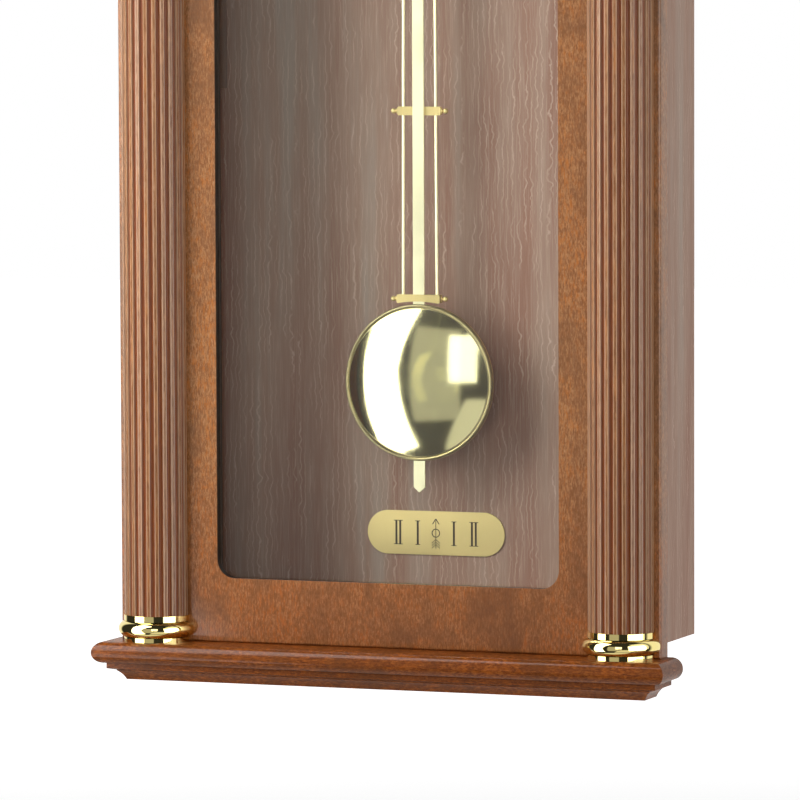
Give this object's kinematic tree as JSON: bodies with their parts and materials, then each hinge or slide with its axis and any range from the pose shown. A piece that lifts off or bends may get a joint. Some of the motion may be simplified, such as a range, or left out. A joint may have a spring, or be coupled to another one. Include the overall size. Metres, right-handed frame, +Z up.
{
  "type": "pendulum wall clock",
  "caption": "Wooden wall clock with a hinged glazed door between fluted half columns, a round dial, and a brass pendulum swinging behind the glass.",
  "frame": {"origin": "centre of the round part of the keyhole, on the wall plane", "axes": "+X to the right seen from the front, +Y into the wall, +Z up"},
  "size_m": [0.306, 0.0993, 0.6588],
  "materials": {
    "case_wood": "satin foil, brown-grey vertical grain",
    "door_wood": "lacquered walnut veneer",
    "column_wood": "lacquered walnut",
    "plain_wood": "raw beech",
    "window_glass": "clear float glass",
    "polished_brass": "polished and lacquered",
    "satin_brass": "satin",
    "zinc_steel": "zinc plated",
    "magnet": "sintered magnet",
    "dial_paint": "matt ivory paint",
    "hand_black": "satin black",
    "black_plastic": "moulded",
    "white_plastic": "moulded",
    "bumper_rubber": "soft",
    "circuit_green": "solder mask",
    "copper_wire": "enamelled copper winding",
    "battery_can": "plain printed sleeve"
  },
  "bodies": {
    "case": {"side_panel_left": "case_wood", "side_panel_right": "case_wood", "top_panel": "case_wood", "bottom_panel": "case_wood", "back_panel": "case_wood", "hanging_rail": "plain_wood", "dial_battens": "case_wood", "dial_board": "case_wood", "dial_plate": "dial_paint", "dial_bezel": "polished_brass", "beat_plate": "satin_brass", "keyhole_plate": "zinc_steel", "wall_bumpers": "bumper_rubber", "catch_magnet": "magnet", "hinge_case_leaves": "polished_brass", "hinge_pins": "polished_brass", "case_screws": "satin_brass", "movement_front_case": "black_plastic", "movement_middle_plate": "white_plastic", "movement_back_cover": "black_plastic", "movement_nut": "polished_brass", "circuit_board": "circuit_green", "drive_coil": "copper_wire", "stepper_coil": "copper_wire", "stepper_stator": "zinc_steel", "stepper_rotor": "magnet", "battery": "battery_can", "battery_contacts": "zinc_steel", "lever_pin": "zinc_steel"},
    "door": {"door_frame": "door_wood", "window_glass": "window_glass", "glass_beads": "door_wood", "column_left": "column_wood", "column_right": "column_wood", "column_bases": "polished_brass", "column_caps": "polished_brass", "base_board": "door_wood", "base_moulding": "door_wood", "cornice_board": "door_wood", "cornice_moulding": "door_wood", "hinge_door_leaves": "polished_brass", "hinge_door_screws": "satin_brass", "catch_strike": "zinc_steel"},
    "pendulum": {"pendulum_lever": "white_plastic", "lever_magnet": "magnet", "pendulum_rod": "polished_brass", "pendulum_side_rods": "polished_brass", "pendulum_crossbars": "satin_brass", "bob_front": "polished_brass", "bob_back": "satin_brass"},
    "minute_arbor": {"minute_hand": "hand_black", "hand_nut": "polished_brass", "centre_wheel": "satin_brass"},
    "hour_pipe": {"hour_hand": "hand_black", "hour_wheel": "white_plastic"},
    "setting_stem": {"minute_wheel": "white_plastic", "setting_knob": "white_plastic"},
    "third_arbor": {"third_wheel": "satin_brass"},
    "second_arbor": {"second_wheel": "satin_brass"}
  },
  "joints": [
    {"name": "door_swing", "type": "hinge", "parent": "case", "child": "door", "pos_m": [-0.1429, -0.0669, -0.2705], "axis": [0, 0, -1], "range_deg": [0, 170]},
    {"name": "pendulum_swing", "type": "hinge", "parent": "case", "child": "pendulum", "pos_m": [0, -0.0309, -0.108], "axis": [0, 1, 0], "range_deg": [-3.5, 3.5]},
    {"name": "minute_hand_turn", "type": "hinge", "parent": "case", "child": "minute_arbor", "pos_m": [0, -0.043, -0.09], "axis": [0, 1, 0], "continuous": true},
    {"name": "hour_hand_turn", "type": "hinge", "parent": "case", "child": "hour_pipe", "pos_m": [0, -0.043, -0.09], "axis": [0, 1, 0], "continuous": true},
    {"name": "setting_knob_turn", "type": "hinge", "parent": "case", "child": "setting_stem", "pos_m": [-0.01131, -0.035, -0.10131], "axis": [0, 1, 0], "continuous": true},
    {"name": "third_wheel_turn", "type": "hinge", "parent": "case", "child": "third_arbor", "pos_m": [-0.01247, -0.037, -0.0828], "axis": [0, 1, 0], "continuous": true},
    {"name": "second_wheel_turn", "type": "hinge", "parent": "case", "child": "second_arbor", "pos_m": [-0.00567, -0.037, -0.07102], "axis": [0, 1, 0], "continuous": true}
  ],
  "couplings": [
    {"joint": "hour_hand_turn", "follows": "minute_hand_turn", "ratio": 0.083333},
    {"joint": "setting_knob_turn", "follows": "minute_hand_turn", "ratio": -0.33333},
    {"joint": "third_wheel_turn", "follows": "minute_hand_turn", "ratio": -8},
    {"joint": "second_wheel_turn", "follows": "minute_hand_turn", "ratio": 60}
  ]
}
